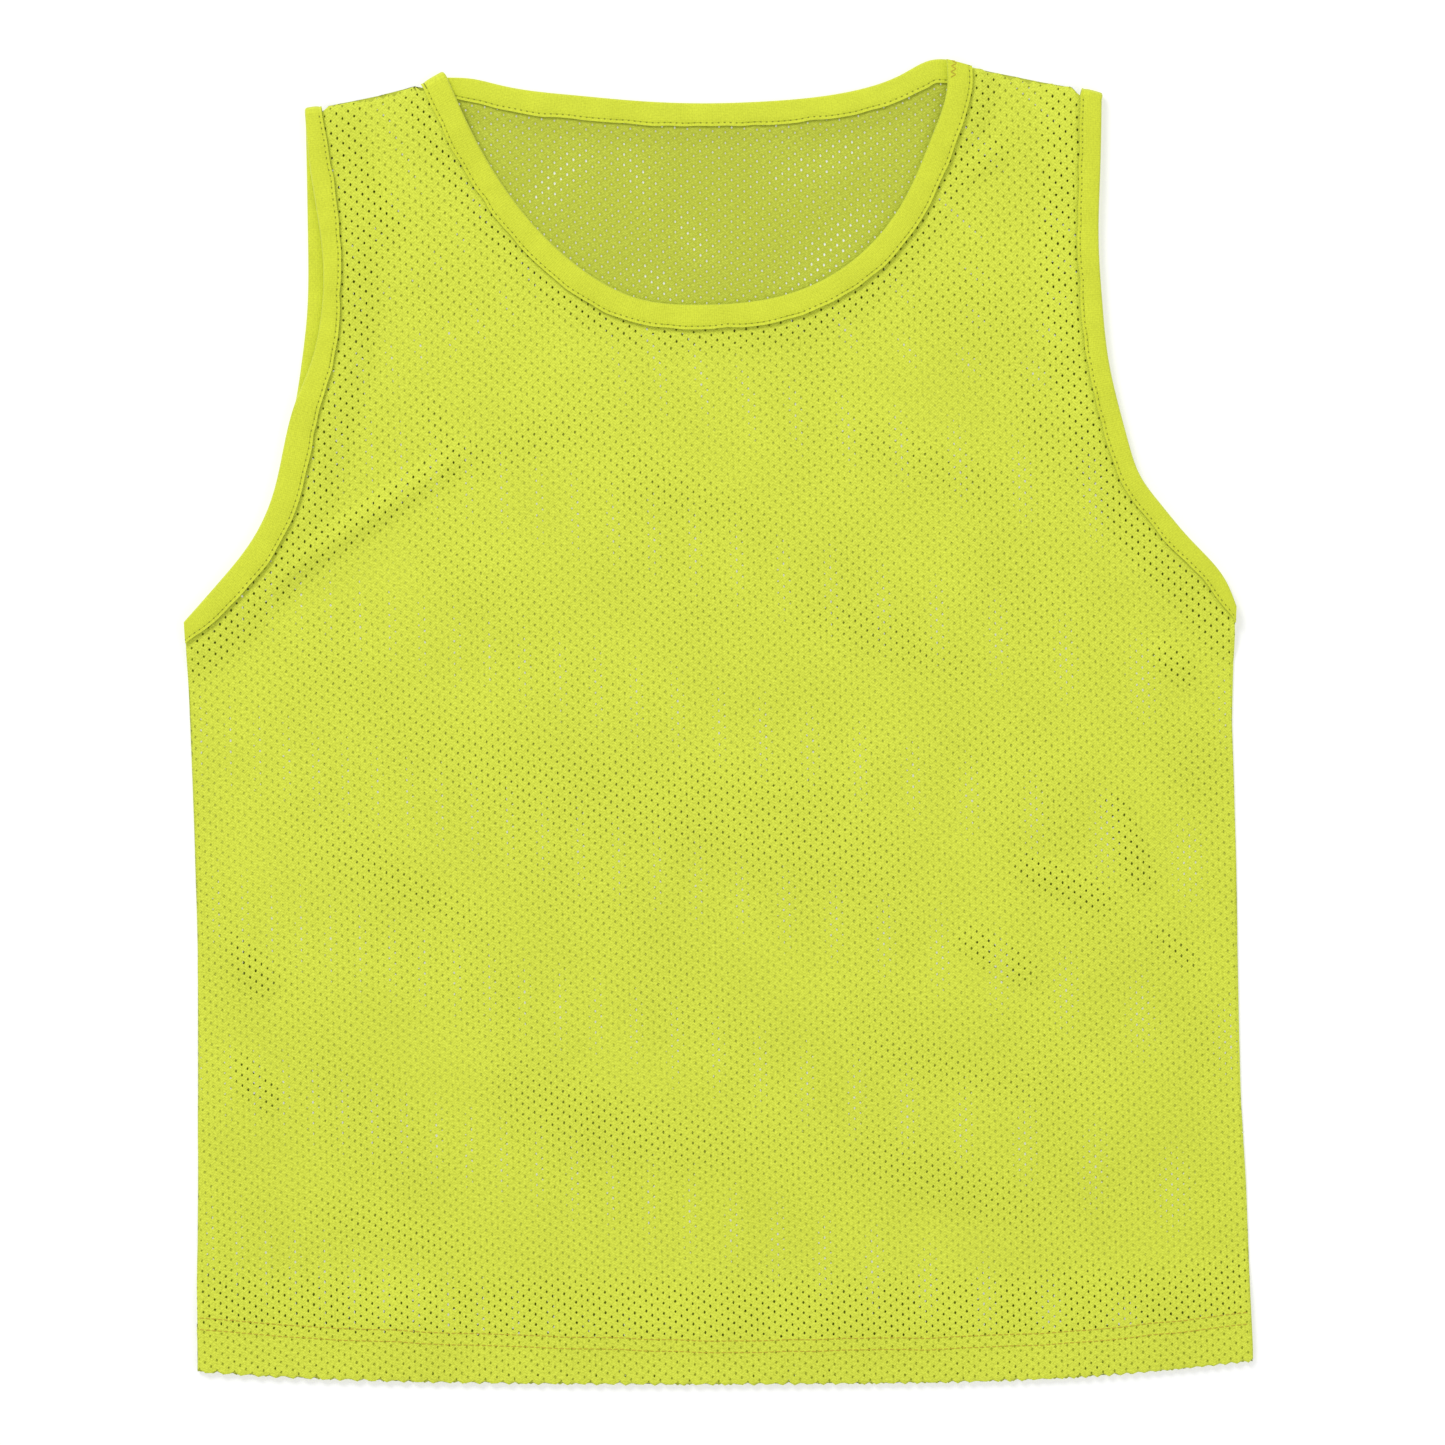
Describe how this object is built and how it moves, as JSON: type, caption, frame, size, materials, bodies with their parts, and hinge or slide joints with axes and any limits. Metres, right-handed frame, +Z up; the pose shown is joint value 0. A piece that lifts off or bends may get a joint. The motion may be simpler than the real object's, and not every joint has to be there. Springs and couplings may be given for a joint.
{
  "type": "mesh training bib",
  "caption": "Sleeveless knitted-mesh training bib laid flat: front and back panels with turned hems, bound round neck and bound armholes.",
  "frame": {"origin": "on the surface the bib lies on, under the middle of its outline", "axes": "+Y from the hem towards the neck, +X to the right as the front is looked at, +Z up off the surface, through the cloth from the back panel to the front"},
  "size_m": [0.534, 0.6626, 0.0075],
  "materials": {
    "front_mesh": "neon yellow knitted mesh, semi-matt, small round holes",
    "back_mesh": "neon yellow knitted mesh, semi-matt, small round holes",
    "neck_knit": "neon yellow plain knit tape, smooth, semi-matt",
    "armhole_knit": "neon yellow plain knit tape, smooth, semi-matt"
  },
  "bodies": {
    "root": {"front_panel": "front_mesh", "back_panel": "back_mesh", "neck_binding": "neck_knit", "armhole_binding_left": "armhole_knit", "armhole_binding_right": "armhole_knit"}
  },
  "joints": []
}
